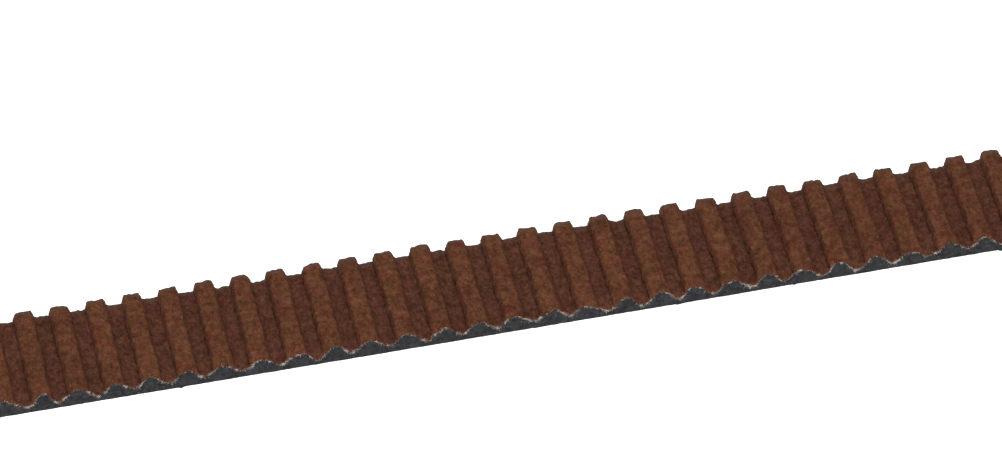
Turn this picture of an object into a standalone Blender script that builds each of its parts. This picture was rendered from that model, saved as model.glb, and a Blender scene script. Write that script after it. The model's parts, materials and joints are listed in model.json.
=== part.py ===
"""An open-ended timing belt with trapezoidal teeth, lying on its back with its teeth up.

The belt runs along X and its width is along Y. It is built up from its back in four layers: a rubber
backing, parallel tension cords in adhesive gum, toothed rubber, and a fabric facing over the teeth.
A belt bends everywhere. Here it bends at hinge lines, in the middle of every second land between its
teeth and at the height of the cords, where a belt keeps its length. So each layer is cut into links.
"""

import math

import bpy

MM = 0.001

# Driving dimensions: a metric belt of 2.5 mm pitch, 10 mm wide
PITCH = 2.5 * MM
TOOTH_COUNT = 30
TEETH_PER_LINK = 2
WIDTH = 10 * MM
LAND_HEIGHT = 0.65 * MM  # from the back to the land between two teeth
TOOTH_HEIGHT = 0.65 * MM
TOOTH_ROOT_WIDTH = 1.6 * MM  # where the flanks would meet the land
FLANK_ANGLE = math.radians(20)  # from upright
FILLET_RADIUS = 0.15 * MM  # at a tooth's root and at its tip, on the facing's outside
CORD_HEIGHT = 0.3 * MM  # from the back to the cords' centres
CORD_DIAMETER = 0.24 * MM
CORD_SPACING = 0.6 * MM
CORD_COUNT = 16
GUM_THICKNESS = 0.08 * MM  # of the gum between two cords
FACING_THICKNESS = 0.11 * MM

LAYER_GAP = 0.01 * MM  # between two layers
HINGE_GAP = 0.03 * MM  # between two links, at the height of the cords
RELIEF_ANGLE = math.radians(12)  # a link's end leans back by this much, for a bend of 22.5 degrees
ARC_STEPS = 3
CORD_SIDES = 6

# Worked out from those
LINK_COUNT = TOOTH_COUNT // TEETH_PER_LINK
LINK_LENGTH = TEETH_PER_LINK * PITCH
ROOT_LINK = (LINK_COUNT + 1) // 2
TIP_HEIGHT = LAND_HEIGHT + TOOTH_HEIGHT
TOOTH_TIP_WIDTH = TOOTH_ROOT_WIDTH - 2 * TOOTH_HEIGHT * math.tan(FLANK_ANGLE)
CORD_TOP = CORD_HEIGHT + CORD_DIAMETER / 2
BACKING_TOP = CORD_HEIGHT - CORD_DIAMETER / 2 - LAYER_GAP
RUBBER_INSET = FACING_THICKNESS + LAYER_GAP  # from the facing's outside to the toothed rubber

# Rotations that stand an outline up: one lies in the XZ plane, the other in the YZ plane
ALONG_BELT = (math.pi / 2, 0, 0)
ACROSS_BELT = (math.pi / 2, 0, math.pi / 2)


def make_material(name, colour, roughness):
    material = bpy.data.materials.new(name)
    material.use_nodes = True
    shader = material.node_tree.nodes["Principled BSDF"]
    shader.inputs["Base Color"].default_value = (*colour, 1)
    shader.inputs["Roughness"].default_value = roughness
    shader.inputs["Metallic"].default_value = 0
    material.diffuse_color = (*colour, 1)
    return material


def outline_curve(name, outline, depth, material):
    """A flat closed outline, thickened by depth about its own plane."""
    curve = bpy.data.curves.new(name, "CURVE")
    curve.dimensions = "2D"
    curve.fill_mode = "BOTH"
    curve.extrude = depth / 2
    spline = curve.splines.new("POLY")
    spline.points.add(len(outline) - 1)
    for point, (across, up) in zip(spline.points, outline):
        point.co = (across, up, 0, 1)
    spline.use_cyclic_u = True
    curve.materials.append(material)
    return curve


def reach(height, hinged):
    """How far a link goes from its middle at this height. The belt's own cut ends are square."""
    if not hinged:
        return LINK_LENGTH / 2
    return LINK_LENGTH / 2 - HINGE_GAP / 2 - abs(height - CORD_HEIGHT) * math.tan(RELIEF_ANGLE)


def ends(height, hinged):
    """The left and right end points at this height. hinged says which of the two ends has a hinge."""
    left, right = (reach(height, end) for end in hinged)
    return [(-left, height), (right, height)]


def arc(centre, radius, first, last):
    """Points along an arc, from one angle to another in degrees."""
    turns = (math.radians(first + (last - first) * step / ARC_STEPS) for step in range(ARC_STEPS + 1))
    return [(centre[0] + radius * math.cos(turn), centre[1] + radius * math.sin(turn)) for turn in turns]


def tooth_line(middle, inset):
    """One tooth from left to right, as deep inside the outer surface as inset says.

    Lines at different depths keep the same arc centres, so a layer between two of them is even.
    """
    lean = 90 - math.degrees(FLANK_ANGLE)  # from the level land to a flank
    tangent = FILLET_RADIUS * math.tan(math.radians(lean) / 2)
    root = (middle - TOOTH_ROOT_WIDTH / 2 - tangent, LAND_HEIGHT + FILLET_RADIUS)
    tip = (middle - TOOTH_TIP_WIDTH / 2 + tangent, TIP_HEIGHT - FILLET_RADIUS)
    rise = arc(root, FILLET_RADIUS + inset, -90, lean - 90)
    rise += arc(tip, FILLET_RADIUS - inset, 90 + lean, 90)
    return rise + [(2 * middle - x, z) for x, z in reversed(rise)]


def toothed_line(inset, hinged):
    """A whole link's tooth side, from its left end to its right end."""
    left, right = ends(LAND_HEIGHT - inset, hinged)
    middles = [(tooth - (TEETH_PER_LINK - 1) / 2) * PITCH for tooth in range(TEETH_PER_LINK)]
    return [left] + [point for middle in middles for point in tooth_line(middle, inset)] + [right]


def backing_outline(hinged):
    return ends(0, hinged) + ends(BACKING_TOP, hinged)[::-1]


def teeth_outline(hinged):
    return ends(CORD_TOP + LAYER_GAP, hinged) + toothed_line(RUBBER_INSET, hinged)[::-1]


def facing_outline(hinged):
    return toothed_line(0, hinged) + toothed_line(FACING_THICKNESS, hinged)[::-1]


def cord_outline():
    """The cord layer's section across the belt: a thin web of gum that joins a row of cords."""
    radius = CORD_DIAMETER / 2
    half_web = GUM_THICKNESS / 2
    edge = WIDTH / 2
    top = [(-edge, half_web)]
    for cord in range(CORD_COUNT):
        middle = (cord - (CORD_COUNT - 1) / 2) * CORD_SPACING
        for corner in range(CORD_SIDES // 2):
            turn = math.pi * (1 - (corner + 0.5) / (CORD_SIDES // 2))
            top.append((middle + radius * math.cos(turn), radius * math.sin(turn)))
    top.append((edge, half_web))
    return top + [(across, -up) for across, up in reversed(top)]


def add_piece(name, curve, rotation, place, hinge, collection):
    """One piece, set in place from its hinge and moving with it."""
    piece = bpy.data.objects.new(name, curve)
    piece.rotation_euler = rotation
    piece.location = place
    piece.parent = hinge
    collection.objects.link(piece)
    return piece


def add_hinge(number, collection):
    """The empty that carries a link, on the hinge line on the link's side towards the root link."""
    middle = (number - ROOT_LINK) * LINK_LENGTH
    towards_root = (number < ROOT_LINK) - (number > ROOT_LINK)
    hinge = bpy.data.objects.new(f"hinge_{number:02d}", None)
    hinge.location = (middle + towards_root * LINK_LENGTH / 2, 0, CORD_HEIGHT)
    hinge.empty_display_size = LAND_HEIGHT
    collection.objects.link(hinge)
    return hinge, middle


def add_link(number, materials, layer_curves, collection):
    """The four pieces of one link. Links of one kind share their outlines."""
    hinged = (number > 1, number < LINK_COUNT)
    hinge, middle = add_hinge(number, collection)
    from_hinge = middle - hinge.location.x
    for layer, outline in (
        ("backing", backing_outline),
        ("teeth", teeth_outline),
        ("facing", facing_outline),
    ):
        if (layer, hinged) not in layer_curves:
            made = outline_curve(layer, outline(hinged), WIDTH, materials[layer])
            layer_curves[layer, hinged] = made
        place = (from_hinge, 0, -CORD_HEIGHT)
        add_piece(f"{layer}_{number:02d}", layer_curves[layer, hinged], ALONG_BELT, place, hinge, collection)

    left, right = (reach(CORD_TOP, end) for end in hinged)
    if ("cord_layer", hinged) not in layer_curves:
        made = outline_curve("cord_layer", cord_outline(), left + right, materials["cord_layer"])
        layer_curves["cord_layer", hinged] = made
    place = (from_hinge + (right - left) / 2, 0, 0)
    cords = layer_curves["cord_layer", hinged]
    add_piece(f"cord_layer_{number:02d}", cords, ACROSS_BELT, place, hinge, collection)
    return hinge


def chain_hinges(hinges):
    """Parents each hinge to the one before it, counted from the root link, so that a bend carries the rest."""
    for number, hinge in hinges.items():
        if number == ROOT_LINK:
            continue
        before = hinges[number + 1] if number < ROOT_LINK else hinges[number - 1]
        hinge.parent = before
        hinge.matrix_parent_inverse = before.matrix_world.inverted()


def main():
    for leftover in list(bpy.data.objects):
        bpy.data.objects.remove(leftover)
    collection = bpy.data.collections.new("timing_belt")
    bpy.context.scene.collection.children.link(collection)
    materials = {
        "backing": make_material("backing_rubber", (0.040, 0.045, 0.050), 0.75),
        "cord_layer": make_material("tension_cord", (0.55, 0.52, 0.45), 0.60),
        "teeth": make_material("tooth_rubber", (0.035, 0.038, 0.042), 0.70),
        "facing": make_material("facing_fabric", (0.16, 0.055, 0.030), 0.90),
    }
    layer_curves = {}
    hinges = {
        number: add_link(number, materials, layer_curves, collection)
        for number in range(1, LINK_COUNT + 1)
    }
    bpy.context.view_layer.update()
    chain_hinges(hinges)


main()
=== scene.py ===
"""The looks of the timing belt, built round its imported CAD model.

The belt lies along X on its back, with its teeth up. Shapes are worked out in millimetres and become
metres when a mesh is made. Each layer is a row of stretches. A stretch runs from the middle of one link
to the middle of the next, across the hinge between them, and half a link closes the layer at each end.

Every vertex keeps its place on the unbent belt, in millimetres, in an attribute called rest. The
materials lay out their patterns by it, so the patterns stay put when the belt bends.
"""

import functools
import json
import math

import bpy
import numpy as np
from mathutils import Matrix, Vector


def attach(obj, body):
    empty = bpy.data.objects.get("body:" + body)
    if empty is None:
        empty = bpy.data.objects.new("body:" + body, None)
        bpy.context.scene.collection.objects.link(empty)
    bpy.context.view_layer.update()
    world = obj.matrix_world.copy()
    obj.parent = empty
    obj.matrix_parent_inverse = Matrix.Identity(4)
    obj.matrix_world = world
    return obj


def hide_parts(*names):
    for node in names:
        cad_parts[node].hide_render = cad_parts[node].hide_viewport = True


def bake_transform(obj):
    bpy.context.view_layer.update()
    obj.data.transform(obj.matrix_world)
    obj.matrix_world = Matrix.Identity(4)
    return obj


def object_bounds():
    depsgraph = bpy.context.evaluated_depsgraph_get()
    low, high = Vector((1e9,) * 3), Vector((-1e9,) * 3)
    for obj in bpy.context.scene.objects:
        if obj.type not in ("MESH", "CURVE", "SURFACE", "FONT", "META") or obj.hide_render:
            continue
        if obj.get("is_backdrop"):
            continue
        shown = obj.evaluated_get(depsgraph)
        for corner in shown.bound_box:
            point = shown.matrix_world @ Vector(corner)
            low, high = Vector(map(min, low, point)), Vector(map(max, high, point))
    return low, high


MM = 0.001

# Driving dimensions of the belt, in millimetres. The rest comes from the frame.
PITCH = 2.5
TEETH_PER_LINK = 2
LAND_HEIGHT = 0.65
TOOTH_ROOT_WIDTH = 1.6
FLANK_ANGLE = 20  # in degrees, from upright
FILLET_RADIUS = 0.15
FACING_THICKNESS = 0.11
LAYER_GAP = 0.02  # between the facing and the rubber under it, out of sight
CORD_DIAMETER = 0.24
CORD_SPACING = 0.6
CORD_COUNT = 16
STRANDS = 3  # in a cord
STRAND_RADIUS = CORD_DIAMETER * 0.27
STRAND_SWING = CORD_DIAMETER * 0.24  # from the cord's middle to a strand's
CORD_LAY = 1.6  # the length in which a strand goes once round its cord
CORD_OVERHANG = 0.07  # how far at most a cord sticks out where the belt is cut off

# The wavy line on the near cut edge, where the facing's cut ends and the rubber begins
WAVE_MIDDLE = 0.915
WAVE_RISE = 0.34
WAVE_SHARPNESS = 2.2  # 2 would be a plain sine wave, and more has flatter crests
WAVE_LIP = 0.09  # how far the facing stands above the line

# The facing is folded in along both feet of each tooth
FOLDS = ((-0.78, 0.06), (0.75, 0.045))  # each one's place from the tooth's middle, and its depth
FOLD_WIDTH = 0.06

# How far in from an edge the facing is changed by it
END_REACH = 0.4  # by the belt's cut ends, which stay square
SMEAR_REACH = 0.34  # by the near cut, which smeared it
DENT_REACH = 0.35  # by the dents in the far cut
WEAR_REACH = 0.7  # by wear at the far cut
WORN_RIM = 0.05  # where the wear is complete
ROUNDING = 0.07  # by the rounding of both cuts
SMEARED_RIM = 0.02  # where the smear is complete

# Random surfaces are layers of bumps. Each layer has its bumps' height, their width and its own seed.
PULL = ((0.035, 1.5, 1), (0.04, 0.6, 2), (0.03, 0.3, 9))  # of the facing along the belt
LIFT = ((0.02, 1.3, 3), (0.015, 0.5, 4))  # of the facing
GRAIN = ((0.016, 0.2, 5), (0.008, 0.1, 6))  # of the facing
PINCH = ((0.5, 1.1, 10), (0.4, 0.45, 23))  # of a fold, as a share of its depth
JAG = ((0.03, 0.16, 7),)  # of the facing's rims
CUT_NAP = ((0.03, 0.09, 8),)  # of the facing where it is cut
WAVE_SHIFT = ((0.16, 1.9, 11), (0.1, 0.7, 22))
WAVE_DRIFT = ((0.15, 5, 19),)
WAVE_GROWTH = ((0.25, 2.3, 12),)  # as a share of its rise
NEAR_RAGS = ((0.08, 0.4, 13), (0.055, 0.13, 14))
FAR_RAGS = ((0.015, 0.22, 15), (0.01, 0.09, 16))
FAR_DENTS = ((0.07, 0.6, 17), (0.045, 0.2, 18))
NICK_DEPTH = 0.09
BURR_HEIGHT = 0.1
NEAR_CUT = ((0.016, 0.35, 30), (0.008, 0.13, 31))
NEAR_STREAKS = ((0.008, 0.06, 32),)
FAR_CUT = ((0.016, 0.35, 40), (0.008, 0.13, 41))
FAR_STREAKS = ((0.008, 0.06, 42),)
STREAK_LENGTH = 14  # in times its width
GROUND_HEIGHT = 0.006
GROUND = ((GROUND_HEIGHT, 0.5, 21),)

# Loose fibres
NEAR_FIBRES = 850  # to each tooth, before the thin places are thinned out
FAR_FIBRES = 260
FIBRES_PER_CORD = 9
LINT_PER_TOOTH = 3
FRINGE_LENGTHS = (0.04, 0.11)
FILAMENT_LENGTHS = (0.06, 0.16)
LINT_LENGTHS = (0.08, 0.35)
LINT_INSET = 0.4  # from the cut edges
FIBRE_RADII = (0.003, 0.010)
FIBRE_TAPER = (1.2, 0.5)  # from root to tip, as shares of the radius
CURL = 0.5
ASTRAY_SHARE = 0.006  # of the fringe's fibres lie on the rubber
ASTRAY_DROP = 0.35  # how far below the line those lie

# Colours. Where there are two, the surface varies between them.
TOOTH_BROWNS = (0.117, 0.0388, 0.0207), (0.111, 0.0432, 0.0197)
LAND_BROWNS = (0.112, 0.0385, 0.0247), (0.106, 0.0420, 0.0237)
MOTTLE_TINTS = (0.58, 0.38, 0.19), (1.44, 1.64, 1.85)
WORN_BROWN = (0.110, 0.068, 0.052)
PIT_BROWN = (0.035, 0.012, 0.008)
SPECK_BROWN = (0.36, 0.20, 0.10)
LINT_BROWN = (0.36, 0.19, 0.11)
UNDYED_CLOTH = (0.30, 0.23, 0.18)
UNDYED_FIBRES = (0.20, 0.155, 0.12), (0.74, 0.66, 0.60)
CUT_RUBBERS = (0.012, 0.0125, 0.0150), (0.042, 0.042, 0.0455)
GROUND_RUBBERS = (0.023, 0.0235, 0.026), (0.031, 0.0315, 0.034)
CORD_WHITES = (0.42, 0.38, 0.30), (0.62, 0.58, 0.50)
WEAVE_PERIOD = 0.3
BUMP_DEPTH = 1.5e-5  # in metres, like the next one
FIBRE_BUMP_DEPTH = 1e-5

# How finely the meshes are divided
LINE_STEPS = 80  # along one tooth and its land
ARC_STEPS = 8
ACROSS_STEP = 0.07
HIDDEN_STEP = 0.5
HIDDEN_INSET = 0.4  # of the surfaces between the layers, from the cut edges
BACK_STEP = 0.25
CUT_ROWS = 4
RIM_ROWS = (0.02, 0.045)  # two more rows by each cut edge, this far in
FIBRE_POINTS = 5
FIBRE_SIDES = 4
STRAND_SIDES = 8
STRAND_STEP = 0.16
SIDE_ROWS = 10
TABLE_SIZE = 512
SHARP_ANGLE = 60

# The camera, in millimetres and degrees
LENS = 344.24
CAMERA_AZIMUTH = -6.482
CAMERA_ELEVATION = 35.040
CAMERA_ROLL = -5.731
CAMERA_DISTANCE = 658.38
CAMERA_TARGET = (-0.358, 6.110, 0.6)

FLOOR_DEPTH = 32  # below the belt, clear of every pose
FLOOR_SIZE = 6000
FLOOR_GLOW = 0.75
LAMP_PLACE = (-0.25, -0.20, 0.50)  # in metres, like its size
LAMP_SIZE = 0.25
LAMP_POWER = 0.25
WORLD_LIGHT = 0.92
WORLD_BACKDROP = 1.05

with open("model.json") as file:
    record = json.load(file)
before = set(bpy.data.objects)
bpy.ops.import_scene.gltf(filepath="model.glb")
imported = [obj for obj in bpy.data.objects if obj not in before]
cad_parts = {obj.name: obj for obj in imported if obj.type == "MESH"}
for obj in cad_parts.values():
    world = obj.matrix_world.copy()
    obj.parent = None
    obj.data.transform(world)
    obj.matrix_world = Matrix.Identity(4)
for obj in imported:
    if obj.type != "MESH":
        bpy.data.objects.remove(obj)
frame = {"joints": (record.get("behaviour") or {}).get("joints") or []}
cad_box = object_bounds()
LENGTH, WIDTH, TIP_HEIGHT = ((high - low) / MM for low, high in zip(*cad_box))
HINGES = sorted(frame["joints"], key=lambda joint: joint["pos_m"][0])
CORD_HEIGHT = HINGES[0]["pos_m"][2] / MM
TOOTH_COUNT = round(LENGTH / PITCH)
EDGE = WIDTH / 2


# ---------------------------------------------------------------- random surfaces


@functools.lru_cache(maxsize=None)
def random_table(seed):
    return np.random.default_rng(seed).uniform(-1, 1, (TABLE_SIZE, TABLE_SIZE))


def bumps(across, along, cell, seed):
    """Smooth random values from -1 to 1, whose bumps are about one cell wide."""
    table = random_table(seed)
    column, u = np.divmod(np.asarray(across) / cell, 1)
    row, v = np.divmod(np.asarray(along) / cell, 1)
    u = u * u * (3 - 2 * u)
    v = v * v * (3 - 2 * v)
    left = column.astype(int) % TABLE_SIZE
    right = (left + 1) % TABLE_SIZE
    below = row.astype(int) % TABLE_SIZE
    above = (below + 1) % TABLE_SIZE
    low = table[left, below] * (1 - u) + table[right, below] * u
    high = table[left, above] * (1 - u) + table[right, above] * u
    return low * (1 - v) + high * v


def layered(across, along, layers):
    """Layers of bumps on top of each other."""
    return sum(height * bumps(across, along, cell, seed) for height, cell, seed in layers)


def smooth_step(value, start, end):
    share = np.clip((value - start) / (end - start), 0, 1)
    return share * share * (3 - 2 * share)


def wander(x, y):
    """How far the moulding has pulled the facing along the belt here. The cut ends stay square."""
    return layered(x, y, PULL) * from_ends(x)


def from_ends(x):
    """From 0 at the belt's cut ends to 1 further in."""
    return smooth_step(LENGTH / 2 - np.abs(x), 0, END_REACH)


def in_valley(x):
    """From 1 in the middle of a land to 0 in the middle of a tooth."""
    return (1 + np.cos(2 * math.pi * (x + LENGTH / 2) / PITCH)) / 2


# ---------------------------------------------------------------- the toothed line


def arc(centre, radius, first, last):
    turns = np.radians(np.linspace(first, last, ARC_STEPS + 1))
    return np.stack([centre[0] + radius * np.cos(turns), centre[1] + radius * np.sin(turns)], 1)


def tooth_line(inset):
    """One tooth with half a land on each side, about its middle, as deep in the facing as inset says."""
    lean = 90 - FLANK_ANGLE
    tangent = FILLET_RADIUS * math.tan(math.radians(lean) / 2)
    tip_width = TOOTH_ROOT_WIDTH - 2 * (TIP_HEIGHT - LAND_HEIGHT) * math.tan(math.radians(FLANK_ANGLE))
    root = (-TOOTH_ROOT_WIDTH / 2 - tangent, LAND_HEIGHT + FILLET_RADIUS)
    tip = (-tip_width / 2 + tangent, TIP_HEIGHT - FILLET_RADIUS)
    rise = np.concatenate(
        [
            [(-PITCH / 2, LAND_HEIGHT - inset)],
            arc(root, FILLET_RADIUS + inset, -90, lean - 90),
            arc(tip, FILLET_RADIUS - inset, 90 + lean, 90),
        ]
    )
    return np.concatenate([rise, rise[::-1] * (-1, 1)])


def even_line(points):
    """The same line with its points evenly spaced, and how far along it each point is."""
    lengths = np.hypot(*np.diff(points, axis=0).T)
    along = np.concatenate([[0], np.cumsum(lengths)])
    steps = np.linspace(0, along[-1], LINE_STEPS + 1)
    return np.stack([np.interp(steps, along, points[:, axis]) for axis in (0, 1)], 1), steps


class Stretch:
    """A run of whole teeth, from one land's middle to another's, with its lines at three depths."""

    def __init__(self, first_tooth, tooth_count):
        station = np.arange(tooth_count * LINE_STEPS + 1)
        tooth = first_tooth + station // LINE_STEPS
        index = station % LINE_STEPS
        self.first_tooth = first_tooth
        self.tooth_count = tooth_count
        self.middle = (tooth + 0.5) * PITCH - LENGTH / 2
        line, along = even_line(tooth_line(0))
        tangent = np.gradient(line, axis=0)
        tangent /= np.linalg.norm(tangent, axis=1, keepdims=True)
        self.x, self.z = self.place(line, index)
        self.normal_x, self.normal_z = -tangent[index, 1], tangent[index, 0]
        feet = [(np.interp(place, line[:, 0], along), depth) for place, depth in FOLDS]
        folds = sum(depth * np.exp(-(((along - foot) / FOLD_WIDTH) ** 2)) for foot, depth in feet)
        self.fold = folds[index]
        self.unrolled = tooth * along[-1] + along[index]
        self.inner_x, self.inner_z = self.place(even_line(tooth_line(FACING_THICKNESS))[0], index)
        rubber_line = even_line(tooth_line(FACING_THICKNESS + LAYER_GAP))[0]
        self.rubber_x, self.rubber_z = self.place(rubber_line, index)

    def place(self, line, index):
        return self.middle + line[index, 0], line[index, 1]

    def column(self, name):
        return getattr(self, name)[:, None]


def near_wave(x):
    """The height of the wavy line on the near cut edge."""
    shifted = x + layered(x, 0, WAVE_SHIFT)
    turn = 2 * math.pi * (shifted + LENGTH / 2 - PITCH / 2) / PITCH
    crest = 1 - 2 * np.abs(np.sin(turn / 2)) ** WAVE_SHARPNESS
    rise = WAVE_RISE * (1 + layered(x, 0, WAVE_GROWTH))
    return WAVE_MIDDLE + layered(x, 0, WAVE_DRIFT) + rise * crest + layered(x, 0, NEAR_RAGS)


def far_dents(x):
    """How far the far cut edge stands up, or is dented or nicked."""
    nicks = smooth_step(bumps(x, 0, 0.75, 20), 0.55, 0.8)
    return layered(x, 0, FAR_DENTS) - NICK_DEPTH * nicks


def far_wave(stretch):
    """The same line on the far cut edge, where the cut is clean and the facing keeps its thickness."""
    inner = np.interp(stretch.x, stretch.inner_x, stretch.inner_z)
    return inner + layered(stretch.x, 0, FAR_RAGS) + far_dents(stretch.x)


# ---------------------------------------------------------------- meshes


def make_object(name, points, polygons, material, smooth=True, **attributes):
    """A mesh from points in millimetres and blocks of polygons. Each block's rows have one length."""
    mesh = bpy.data.meshes.new(name)
    corners = np.concatenate([block.ravel() for block in polygons])
    sizes = np.concatenate([np.full(len(block), block.shape[1]) for block in polygons])
    mesh.vertices.add(len(points))
    mesh.vertices.foreach_set("co", (points * MM).astype(np.float32).ravel())
    mesh.loops.add(len(corners))
    mesh.loops.foreach_set("vertex_index", corners.astype(np.int32))
    mesh.polygons.add(len(sizes))
    mesh.polygons.foreach_set("loop_start", (np.cumsum(sizes) - sizes).astype(np.int32))
    mesh.polygons.foreach_set("use_smooth", np.full(len(sizes), smooth))
    mesh.update(calc_edges=True)
    mesh.set_sharp_from_angle(angle=math.radians(SHARP_ANGLE))
    add_attribute(mesh, "rest", points)
    for key, values in attributes.items():
        add_attribute(mesh, key, values)
    mesh.materials.append(material)
    made = bpy.data.objects.new(name, mesh)
    bpy.context.scene.collection.objects.link(made)
    return made


def add_attribute(mesh, name, values):
    kind, field = ("FLOAT", "value") if values.ndim == 1 else ("FLOAT_VECTOR", "vector")
    attribute = mesh.attributes.new(name, kind, "POINT")
    attribute.data.foreach_set(field, values.astype(np.float32).ravel())


def swept_faces(rings, ring_size):
    """Quads round closed rings, one after another along the belt, and a cap on each end."""
    ring = np.arange(rings - 1)[:, None] * ring_size
    here = np.arange(ring_size)[None, :]
    following = np.roll(np.arange(ring_size), -1)[None, :]
    quads = np.stack(
        [ring + here, ring + ring_size + here, ring + ring_size + following, ring + following], -1
    )
    first_cap = np.arange(ring_size)[None, :]
    last_cap = (rings - 1) * ring_size + np.arange(ring_size)[::-1][None, :]
    return [quads.reshape(-1, 4), first_cap, last_cap]


def across_rows():
    """Places across the belt, closer together by the cut edges."""
    rows = np.linspace(-EDGE, EDGE, round(WIDTH / ACROSS_STEP) + 1)
    near_edge = np.array(RIM_ROWS)
    return np.sort(np.concatenate([rows, near_edge - EDGE, EDGE - near_edge]))


def rows_between(start, end, count):
    """Rows of points from start towards end, without either of them."""
    shares = np.arange(1, count + 1)[None, :, None] / (count + 1)
    return start[:, None, :] * (1 - shares) + end[:, None, :] * shares


def side_rows(x, low, high, side, count):
    """Rows of points up a cut side of the rubber, from low to high, roughened by the cut."""
    shares = np.linspace(0, 1, count)[None, :]
    z = low[:, None] * (1 - shares) + high[:, None] * shares
    x = np.broadcast_to(x[:, None], z.shape)
    cut, streaks = (NEAR_CUT, NEAR_STREAKS) if side < 0 else (FAR_CUT, FAR_STREAKS)
    rough = layered(x, z, cut) + layered(x / STREAK_LENGTH, z, streaks)
    return np.stack([x, side * (EDGE + rough), z], -1)


def hidden_rows(x, z):
    """Rows of points under the facing, from the far side to the near side, that wander as it does."""
    half = EDGE - HIDDEN_INSET
    y = np.linspace(half, -half, round(2 * half / HIDDEN_STEP) + 1)[None, :]
    x = x[:, None] + wander(x[:, None], y)
    return np.stack(np.broadcast_arrays(x, y, z[:, None]), -1)


def facing_outside(stretch):
    """The facing's outer surface, and how deep it is folded in."""
    y = across_rows()[None, :]
    x, z = stretch.column("x"), stretch.column("z")

    # The near edge was smeared by the cut: its profile goes over to a wave
    smear = smooth_step(-y, EDGE - SMEAR_REACH, EDGE - SMEARED_RIM)
    height = z * (1 - smear) + (near_wave(x) + WAVE_LIP) * smear
    from_edge = EDGE - np.abs(y)
    rounding = ROUNDING * (1 - np.sqrt(1 - (1 - np.clip(from_edge / ROUNDING, 0, 1)) ** 2))
    fold = stretch.column("fold") * (1 - smear) * (1 + layered(x, y, PINCH))
    swell = (layered(stretch.column("unrolled"), y, GRAIN) - fold) * from_ends(x)
    dents = smooth_step(y, EDGE - DENT_REACH, EDGE) * far_dents(x)
    rim = np.sign(y) * np.isclose(from_edge, 0)
    top_x = x + wander(x, y) + swell * stretch.column("normal_x")
    top_y = y + layered(x, 0, JAG) * rim
    top_z = height + layered(x, y, LIFT) + dents + swell * stretch.column("normal_z") - rounding
    return np.stack(np.broadcast_arrays(top_x, top_y, top_z), -1), fold


def make_facing(stretch, name, material):
    """The facing from its outer surface round both cut edges to its inner surface."""
    top, fold = facing_outside(stretch)
    near_low = np.stack([stretch.x, np.full_like(stretch.x, -EDGE), near_wave(stretch.x)], -1)
    far_low = np.stack([stretch.x, np.full_like(stretch.x, EDGE), far_wave(stretch)], -1)
    near_rows = rows_between(near_low, top[:, 0], CUT_ROWS)
    far_rows = rows_between(top[:, -1], far_low, CUT_ROWS)
    for rows, side in ((near_rows, -1), (far_rows, 1)):
        rows[..., 1] += side * layered(rows[..., 0], rows[..., 2], CUT_NAP)
    inner = hidden_rows(stretch.inner_x, stretch.inner_z)
    points = np.concatenate([near_low[:, None], near_rows, top, far_rows, far_low[:, None], inner], 1)
    rings, ring_size = points.shape[:2]

    # Where the cut shows, where the facing is folded in, which sets the painted shade in the folds, and
    # where it is worn
    shares = np.arange(CUT_ROWS + 1) / (CUT_ROWS + 1)
    cut = np.zeros((rings, ring_size))
    crease = np.zeros((rings, ring_size))
    worn = smooth_step(points[..., 1], EDGE - WEAR_REACH, EDGE - WORN_RIM)
    first_top, last_top = CUT_ROWS + 1, CUT_ROWS + top.shape[1]
    cut[:, :first_top] = (1 - shares) * (0.5 + 0.5 * in_valley(stretch.column("x")))
    cut[:, last_top : last_top + CUT_ROWS + 2] = np.append(shares, 1)
    crease[:, first_top : last_top + 1] = fold / FOLDS[0][1]
    cloth = np.stack(np.broadcast_arrays(stretch.column("unrolled"), points[..., 1], 0), -1)
    return make_object(
        name,
        points.reshape(-1, 3),
        swept_faces(rings, ring_size),
        material,
        cut=cut.ravel(),
        crease=crease.ravel(),
        worn=worn.ravel(),
        cloth=cloth.reshape(-1, 3),
    )


def make_tooth_rubber(stretch, name, material):
    """The rubber from the cords' middles up to the facing."""
    low = np.full_like(stretch.x, CORD_HEIGHT)
    near = side_rows(stretch.x, low, near_wave(stretch.x), -1, SIDE_ROWS)
    far = side_rows(stretch.x, low, far_wave(stretch), 1, SIDE_ROWS)[:, ::-1]
    under = hidden_rows(stretch.rubber_x, stretch.rubber_z)[:, ::-1]
    points = np.concatenate([near, under, far], 1)
    rings, ring_size = points.shape[:2]
    return make_object(name, points.reshape(-1, 3), swept_faces(rings, ring_size), material)


def make_backing(stretch, name, material):
    """The rubber from the back up to the cords' middles."""
    bottom = np.zeros_like(stretch.x)
    top = np.full_like(stretch.x, CORD_HEIGHT)
    near = side_rows(stretch.x, bottom, top, -1, SIDE_ROWS // 2)
    # Here and there a small burr hangs from the near lower edge
    near[:, 0, 2] -= BURR_HEIGHT * smooth_step(bumps(stretch.x, 0, 0.9, 31), 0.7, 1)
    far = side_rows(stretch.x, bottom, top, 1, SIDE_ROWS // 2)[:, ::-1]
    y = np.linspace(EDGE, -EDGE, round(WIDTH / BACK_STEP) + 1)[None, 1:-1]
    x = stretch.column("x")
    height = GROUND_HEIGHT + layered(x, y, GROUND)
    back = np.stack(np.broadcast_arrays(x, y, height), -1)
    points = np.concatenate([near, far, back], 1)
    rings, ring_size = points.shape[:2]
    return make_object(name, points.reshape(-1, 3), swept_faces(rings, ring_size), material)


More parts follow.
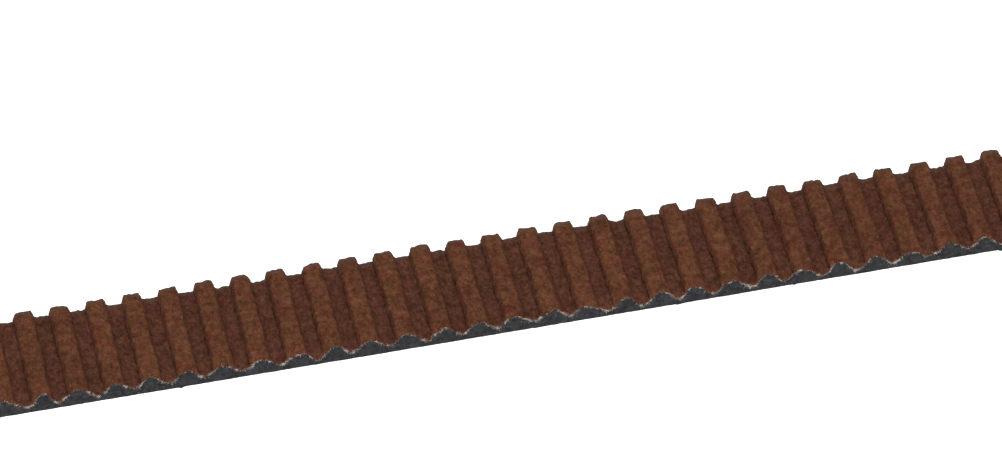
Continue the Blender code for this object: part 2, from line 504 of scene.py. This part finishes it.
def tubes(centres, radii, sides):
    """Round tubes along many lines of points at once, and their faces. The ends are closed."""
    count, length = centres.shape[:2]
    along = np.gradient(centres, axis=1)
    along /= np.linalg.norm(along, axis=2, keepdims=True) + 1e-9
    helper = np.where(np.abs(along[..., 2:]) > 0.8, (1.0, 0.0, 0.0), (0.0, 0.0, 1.0))
    first = np.cross(along, helper)
    first /= np.linalg.norm(first, axis=2, keepdims=True)
    second = np.cross(along, first)
    turns = np.arange(sides) * 2 * math.pi / sides
    offsets = first[:, :, None] * np.cos(turns)[:, None] + second[:, :, None] * np.sin(turns)[:, None]
    points = centres[:, :, None] + offsets * radii[..., None, None]
    start = np.arange(count)[:, None, None] * length * sides
    ring = np.arange(length - 1)[None, :, None] * sides
    here = np.arange(sides)[None, None, :]
    following = np.roll(np.arange(sides), -1)[None, None, :]
    base = start + ring
    quads = np.stack([base + here, base + following, base + sides + following, base + sides + here], -1)
    first_cap = start[:, 0] + np.arange(sides)[::-1][None, :]
    last_cap = start[:, 0] + (length - 1) * sides + np.arange(sides)[None, :]
    return points.reshape(-1, 3), [quads.reshape(-1, 4), first_cap, last_cap]


def cord_places():
    """Where the tension cords lie across the belt."""
    return (np.arange(CORD_COUNT) - (CORD_COUNT - 1) / 2) * CORD_SPACING


def belt_ends(stretch):
    """The belt's own cut ends on this stretch, each with the way out of the belt."""
    sides = ((stretch.x[0], -1), (stretch.x[-1], 1))
    return [(x, way) for x, way in sides if math.isclose(x, way * LENGTH / 2, abs_tol=0.01)]


def make_cords(stretch, name, material):
    """The tension cords, each of strands twisted together. They stick out a little where they are cut."""
    start, end = stretch.x[0], stretch.x[-1]
    rng = np.random.default_rng([71, stretch.first_tooth])
    steps = np.linspace(start, end, round((end - start) / STRAND_STEP) + 1)
    cut_off = {way: 0 if way < 0 else -1 for _, way in belt_ends(stretch)}
    centres = []
    for y in cord_places():
        along = steps.copy()
        for way, station in cut_off.items():
            along[station] += way * CORD_OVERHANG * rng.uniform(0.4, 1)
        for strand in range(STRANDS):
            turns = 2 * math.pi * (along / CORD_LAY + strand / STRANDS)
            line = [along, y + STRAND_SWING * np.cos(turns), CORD_HEIGHT + STRAND_SWING * np.sin(turns)]
            centres.append(np.stack(line, -1))
    centres = np.array(centres)
    radii = np.full(centres.shape[:2], STRAND_RADIUS)
    points, faces = tubes(centres, radii, STRAND_SIDES)
    return make_object(name, points, faces, material)


def fibres(rng, root, direction, length):
    """Short fibres that set off from their roots in these directions and curl at random."""
    direction = direction / np.linalg.norm(direction, axis=1, keepdims=True)
    curl = rng.normal(0, CURL, direction.shape)
    shares = np.linspace(0, 1, FIBRE_POINTS)[None, :, None]
    path = direction[:, None] * shares + curl[:, None] * shares**2
    return root[:, None] + path * length[:, None, None]


def fringe(rng, stretch, side, per_tooth):
    """Undyed fibres along the wavy line on a cut edge, most of them in its valleys."""
    count = per_tooth * stretch.tooth_count
    x = rng.uniform(stretch.x[0], stretch.x[-1], count)
    line = near_wave(x) if side < 0 else np.interp(x, stretch.x, far_wave(stretch))
    valley = in_valley(x)
    clump = smooth_step(bumps(x, 0, 0.24, 24), -0.3, 0.6)
    keep = rng.uniform(0, 1, count) < (0.25 + 0.75 * valley**2) * (0.12 + 0.88 * clump)
    x, line, valley = x[keep], line[keep], valley[keep]
    count = len(x)
    length = rng.uniform(*FRINGE_LENGTHS, count) * (1 + 0.3 * valley)
    direction = rng.normal(0, 1, (count, 3)) * (0.8, 0.35, 0.4) + (0, 0.5 * side, -0.1)
    astray = rng.uniform(0, 1, count) < ASTRAY_SHARE
    drop = rng.uniform(-0.02, 0.02 + 0.08 * valley) + ASTRAY_DROP * astray
    root = np.stack([x, np.full(count, side * (EDGE + 0.005)), line - drop], -1)
    paths = fibres(rng, root, direction, length)
    paths[..., 1] = side * np.maximum(side * paths[..., 1], EDGE - 0.02)
    return paths


def lint(rng, stretch):
    """A few loose fibres that lie on the flats of the facing."""
    count = LINT_PER_TOOTH * stretch.tooth_count
    x = rng.uniform(stretch.x[0] + 0.3, stretch.x[-1] - 0.3, count)
    level = np.interp(x, stretch.x, np.abs(stretch.normal_x)) < 0.1
    x = x[level]
    count = len(x)
    y = rng.uniform(LINT_INSET - EDGE, EDGE - LINT_INSET, count)
    height = np.interp(x, stretch.x, stretch.z) + 0.03
    direction = rng.normal(0, 1, (count, 3)) * (1, 1, 0.01)
    paths = fibres(rng, np.stack([x, y, height], -1), direction, rng.uniform(*LINT_LENGTHS, count))
    paths[..., 2] = height[:, None]
    return paths


def cord_filaments(rng, stretch):
    """Loose filaments at the cords' cut ends."""
    ends = belt_ends(stretch)
    if not ends:
        return np.zeros((0, FIBRE_POINTS, 3))
    y = np.repeat(cord_places(), FIBRES_PER_CORD)
    count = len(y)
    (x, way), *_ = ends
    spread = rng.uniform(0, CORD_DIAMETER / 2, count)
    turn = rng.uniform(0, 2 * math.pi, count)
    z = CORD_HEIGHT + spread * np.sin(turn)
    root = np.stack([np.full(count, x), y + spread * np.cos(turn), z], -1)
    direction = rng.normal(0, 0.5, (count, 3)) + (way * 1.5, 0, 0)
    return fibres(rng, root, direction, rng.uniform(*FILAMENT_LENGTHS, count))


def make_fray(stretch, name, material):
    """Loose fibres: undyed ones on both cut edges and at the cords' ends, and dyed lint on the facing."""
    rng = np.random.default_rng([72, stretch.first_tooth])
    undyed = [
        fringe(rng, stretch, -1, NEAR_FIBRES),
        fringe(rng, stretch, 1, FAR_FIBRES),
        cord_filaments(rng, stretch),
    ]
    dyed = lint(rng, stretch)
    paths = np.concatenate([*undyed, dyed])
    taper = np.linspace(*FIBRE_TAPER, FIBRE_POINTS)
    radii = rng.uniform(*FIBRE_RADII, len(paths))[:, None] * taper
    points, faces = tubes(paths, radii, FIBRE_SIDES)
    dye = np.repeat(np.arange(len(paths)) >= len(paths) - len(dyed), FIBRE_POINTS * FIBRE_SIDES)
    return make_object(name, points, faces, material, dye=dye)


# ---------------------------------------------------------------- materials


class Look:
    """A Principled material whose patterns lie in the belt's own millimetres."""

    def __init__(self, name, roughness, specular=0.5):
        self.material = bpy.data.materials.new(name)
        self.material.use_nodes = True
        self.tree = self.material.node_tree
        self.shader = self.tree.nodes["Principled BSDF"]
        self.shader.inputs["Roughness"].default_value = roughness
        self.shader.inputs["Specular IOR Level"].default_value = specular

    def node(self, kind, **settings):
        made = self.tree.nodes.new(kind)
        for key, value in settings.items():
            setattr(made, key, value)
        return made

    def link(self, output, target):
        self.tree.links.new(output, target)

    def attribute(self, name, output="Vector"):
        return self.node("ShaderNodeAttribute", attribute_name=name).outputs[output]

    def stretched(self, vector, scale):
        """The same places with other scales along the axes, for patterns longer one way than another."""
        mapping = self.node("ShaderNodeMapping")
        mapping.inputs["Scale"].default_value = scale
        self.link(vector, mapping.inputs["Vector"])
        return mapping.outputs["Vector"]

    def noise(self, vector, scale, detail=2.0, roughness=0.5):
        made = self.node("ShaderNodeTexNoise")
        made.inputs["Scale"].default_value = scale
        made.inputs["Detail"].default_value = detail
        made.inputs["Roughness"].default_value = roughness
        self.link(vector, made.inputs["Vector"])
        return made.outputs["Fac"]

    def axis(self, vector, axis):
        made = self.node("ShaderNodeSeparateXYZ")
        self.link(vector, made.inputs[0])
        return made.outputs[axis]

    def remap(self, value, start, end, low=0.0, high=1.0):
        """A smooth step from low to high, as the value goes from start to end."""
        made = self.node("ShaderNodeMapRange", interpolation_type="SMOOTHSTEP")
        for key, number in (("From Min", start), ("From Max", end), ("To Min", low), ("To Max", high)):
            made.inputs[key].default_value = number
        self.link(value, made.inputs["Value"])
        return made.outputs["Result"]

    def maths(self, operation, *values):
        made = self.node("ShaderNodeMath", operation=operation)
        for socket, value in zip(made.inputs, values):
            if isinstance(value, (int, float)):
                socket.default_value = value
            else:
                self.link(value, socket)
        return made.outputs[0]

    def mix(self, share, first, second):
        """From the first colour to the second. The sockets with these numbers are the node's colours."""
        made = self.node("ShaderNodeMix", data_type="RGBA")
        for socket, value in ((made.inputs[0], share), (made.inputs[6], first), (made.inputs[7], second)):
            if isinstance(value, tuple):
                socket.default_value = (*value, 1)
            else:
                self.link(value, socket)
        return made.outputs[2]

    def shade(self, colour, factor):
        """The colour times a plain number."""
        made = self.node("ShaderNodeVectorMath", operation="SCALE")
        self.link(colour, made.inputs["Vector"])
        self.link(factor, made.inputs["Scale"])
        return made.outputs["Vector"]

    def tint(self, first, second):
        """One colour times another."""
        made = self.node("ShaderNodeVectorMath", operation="MULTIPLY")
        self.link(first, made.inputs[0])
        self.link(second, made.inputs[1])
        return made.outputs["Vector"]

    def finish(self, colour, height, depth):
        """Joins up the colour, and the bumps, which are depth metres high."""
        bump = self.node("ShaderNodeBump")
        bump.inputs["Distance"].default_value = depth
        self.link(height, bump.inputs["Height"])
        self.link(bump.outputs["Normal"], self.shader.inputs["Normal"])
        self.link(colour, self.shader.inputs["Base Color"])
        return self.material


def facing_fabric():
    """Reddish-brown impregnated fabric with a suede-like nap, undyed where it is cut, and with painted
    shade in its folds.
    """
    look = Look("facing_fabric", roughness=0.95, specular=0.05)
    rest = look.attribute("rest")
    hue = look.remap(look.noise(rest, 0.8, 3), 0.36, 0.64)
    tooth = look.mix(hue, *TOOTH_BROWNS)
    land = look.mix(hue, *LAND_BROWNS)
    height = look.axis(rest, "Z")
    colour = look.mix(look.remap(height, LAND_HEIGHT + 0.1, TIP_HEIGHT - 0.1), land, tooth)
    slow = look.remap(look.noise(rest, 0.25, 1), 0.3, 0.7, 0.93, 1.07)
    blotches = look.remap(look.noise(rest, 1.4, 2), 0.1, 0.9, 0.66, 1.34)
    colour = look.shade(colour, look.maths("MULTIPLY", slow, blotches))
    mottle = look.remap(look.noise(look.stretched(rest, (1, 0.55, 1)), 4.2, 3, 0.6), 0.1, 0.9)
    colour = look.tint(colour, look.mix(mottle, *MOTTLE_TINTS))
    # Painted shade: the colour is darkened where the facing is folded in at the feet of the teeth
    colour = look.shade(colour, look.remap(look.attribute("crease", "Fac"), 0.1, 1.0, 1.0, 0.57))
    patchy = look.remap(look.noise(rest, 6, 3), 0.3, 0.6, 0.4, 0.9)
    worn = look.maths("MULTIPLY", look.attribute("worn", "Fac"), patchy)
    colour = look.mix(worn, colour, WORN_BROWN)
    pits = look.remap(look.noise(rest, 5, 4, 0.6), 0.58, 0.74)
    colour = look.mix(look.maths("MULTIPLY", pits, 0.75), colour, PIT_BROWN)
    specks = look.remap(look.noise(rest, 9, 3, 0.6), 0.61, 0.75)
    colour = look.mix(look.maths("MULTIPLY", specks, 0.6), colour, SPECK_BROWN)
    undyed = look.remap(look.attribute("cut", "Fac"), 0.35, 0.9)
    ragged = look.remap(look.noise(rest, 9, 2), 0.42, 0.58)
    colour = look.mix(look.maths("MULTIPLY", undyed, ragged), colour, UNDYED_CLOTH)
    fluff = look.remap(look.noise(rest, 13, 4, 0.65), 0.2, 0.8, 0.62, 1.38)
    colour = look.shade(colour, fluff)
    cloth = look.attribute("cloth")
    per_thread = 2 * math.pi / WEAVE_PERIOD
    turns = [look.maths("MULTIPLY", look.axis(cloth, axis), per_thread) for axis in "XY"]
    threads = [look.maths("SINE", turn) for turn in turns]
    weave = look.maths("MULTIPLY", look.maths("MULTIPLY", *threads), 0.25)
    nap = look.maths("ADD", look.noise(rest, 14, 3, 0.6), weave)
    return look.finish(colour, nap, BUMP_DEPTH)


def rubber(name):
    """Matt black rubber, slightly bluish, blotchy where it is cut and with grinding marks on the back."""
    look = Look(name, roughness=0.75, specular=0.12)
    rest = look.attribute("rest")
    patches = look.remap(look.noise(rest, 3.5, 6, 0.7), 0.3, 0.7)
    side = look.mix(patches, *CUT_RUBBERS)
    knife = look.remap(look.noise(look.stretched(rest, (0.15, 1, 2)), 6, 3, 0.6), 0.3, 0.7, 0.8, 1.2)
    side = look.shade(side, knife)
    marks = look.noise(look.stretched(rest, (0.5, 8, 1)), 1.6, 4, 0.6)
    back = look.mix(look.remap(marks, 0.3, 0.7), *GROUND_RUBBERS)
    colour = look.mix(look.remap(look.axis(rest, "Z"), 0.02, 0.06), back, side)
    grit = look.noise(rest, 9, 4, 0.65)
    height = look.maths("ADD", grit, look.maths("MULTIPLY", marks, 0.5))
    return look.finish(colour, height, BUMP_DEPTH)


def cord_fibre():
    """Off-white twisted yarn."""
    look = Look("tension_cord", roughness=0.6)
    rest = look.attribute("rest")
    colour = look.mix(look.noise(rest, 12), *CORD_WHITES)
    return look.finish(colour, look.noise(rest, 20), FIBRE_BUMP_DEPTH)


def loose_fibre():
    """Undyed where it was cut, and the facing's own dye on the lint."""
    look = Look("loose_fibre", roughness=0.8, specular=0.2)
    rest = look.attribute("rest")
    undyed = look.mix(look.remap(look.noise(rest, 3), 0.35, 0.65), *UNDYED_FIBRES)
    colour = look.mix(look.attribute("dye", "Fac"), undyed, LINT_BROWN)
    return look.finish(colour, look.noise(rest, 20), FIBRE_BUMP_DEPTH)


# ---------------------------------------------------------------- the belt


def bend(piece, hinge):
    """Bakes the piece's place into its mesh. The piece is not flexed at the hinge."""
    at = Vector(hinge["pos_m"])
    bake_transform(piece)


def stretches():
    """Each stretch with its name, its hinge if it crosses one, and the links that it lies on."""
    yield Stretch(0, TEETH_PER_LINK // 2), "left_end", None, (1,)
    for number, hinge in enumerate(HINGES, 1):
        first_tooth = (number - 1) * TEETH_PER_LINK + TEETH_PER_LINK // 2
        name = f"{number:02d}_{number + 1:02d}"
        yield Stretch(first_tooth, TEETH_PER_LINK), name, hinge, (number, number + 1)
    last = len(HINGES) + 1
    yield Stretch(TOOTH_COUNT - TEETH_PER_LINK // 2, TEETH_PER_LINK // 2), "right_end", None, (last,)


def build_belt():
    fabric = facing_fabric()
    layers = (
        ("facing", "facing", make_facing, fabric, "facing_fabric"),
        ("teeth", "tooth_rubber", make_tooth_rubber, rubber("tooth_rubber"), "tooth_rubber"),
        ("backing", "backing", make_backing, rubber("backing_rubber"), "backing_rubber"),
        ("cord_layer", "cords", make_cords, cord_fibre(), "tension_cord"),
        (None, "fray", make_fray, loose_fibre(), "facing_fabric"),
    )
    for stretch, suffix, hinge, links in stretches():
        for node, name, make, material, slot in layers:
            piece = make(stretch, f"{name}_{suffix}", material)
            if node:
                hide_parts(*(f"{node}_{link:02d}" for link in links))
            if hinge:
                bend(piece, hinge)
            else:
                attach(piece, f"link_{links[0]:02d}")


# ---------------------------------------------------------------- studio


def make_floor():
    look = bpy.data.materials.new("floor")
    look.use_nodes = True
    shader = look.node_tree.nodes["Principled BSDF"]
    shader.inputs["Base Color"].default_value = (0.8, 0.8, 0.8, 1)
    shader.inputs["Roughness"].default_value = 1
    shader.inputs["Emission Color"].default_value = (1, 1, 1, 1)
    shader.inputs["Emission Strength"].default_value = FLOOR_GLOW
    mesh = bpy.data.meshes.new("floor")
    half = FLOOR_SIZE / 2 * MM
    corners = [(-half, -half, 0), (half, -half, 0), (half, half, 0), (-half, half, 0)]
    mesh.from_pydata(corners, [], [(0, 1, 2, 3)])
    mesh.materials.append(look)
    floor = bpy.data.objects.new("floor", mesh)
    floor.location.z = -FLOOR_DEPTH * MM
    bpy.context.scene.collection.objects.link(floor)
    floor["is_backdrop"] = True


def make_world():
    """White all round: dimmer as light on the belt than as the backdrop that the camera sees."""
    world = bpy.data.worlds.new("studio")
    bpy.context.scene.world = world
    world.use_nodes = True
    tree = world.node_tree
    background = tree.nodes["Background"]
    background.inputs["Color"].default_value = (1, 1, 1, 1)
    path = tree.nodes.new("ShaderNodeLightPath")
    strength = tree.nodes.new("ShaderNodeMapRange")
    strength.inputs["To Min"].default_value = WORLD_LIGHT
    strength.inputs["To Max"].default_value = WORLD_BACKDROP
    tree.links.new(path.outputs["Is Camera Ray"], strength.inputs["Value"])
    tree.links.new(strength.outputs["Result"], background.inputs["Strength"])


def add_light(name, place, size, power):
    light = bpy.data.lights.new(name, "AREA")
    light.shape = "DISK"
    light.size = size
    light.energy = power
    lamp = bpy.data.objects.new(name, light)
    lamp.location = place
    lamp.rotation_euler = (-Vector(place)).to_track_quat("-Z", "Y").to_euler()
    bpy.context.scene.collection.objects.link(lamp)


def make_camera():
    azimuth, elevation = math.radians(CAMERA_AZIMUTH), math.radians(CAMERA_ELEVATION)
    back = Vector(
        (
            math.sin(azimuth) * math.cos(elevation),
            -math.cos(azimuth) * math.cos(elevation),
            math.sin(elevation),
        )
    )
    data = bpy.data.cameras.new("camera")
    data.lens = LENS
    data.clip_start = 0.01
    data.clip_end = 10
    camera = bpy.data.objects.new("camera", data)
    place = (Vector(CAMERA_TARGET) + back * CAMERA_DISTANCE) * MM
    turn = (-back).to_track_quat("-Z", "Y").to_matrix().to_4x4()
    roll = Matrix.Rotation(math.radians(CAMERA_ROLL), 4, "Z")
    camera.matrix_world = Matrix.Translation(place) @ turn @ roll
    bpy.context.scene.collection.objects.link(camera)
    bpy.context.scene.camera = camera


make_camera()
make_world()
make_floor()
add_light("key", LAMP_PLACE, LAMP_SIZE, LAMP_POWER)
build_belt()
bpy.context.scene.view_settings.view_transform = "Standard"

visual_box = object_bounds()
boxes = {"cad": cad_box, "visual": visual_box}
{key: [list(corner) for corner in box] for key, box in boxes.items()}
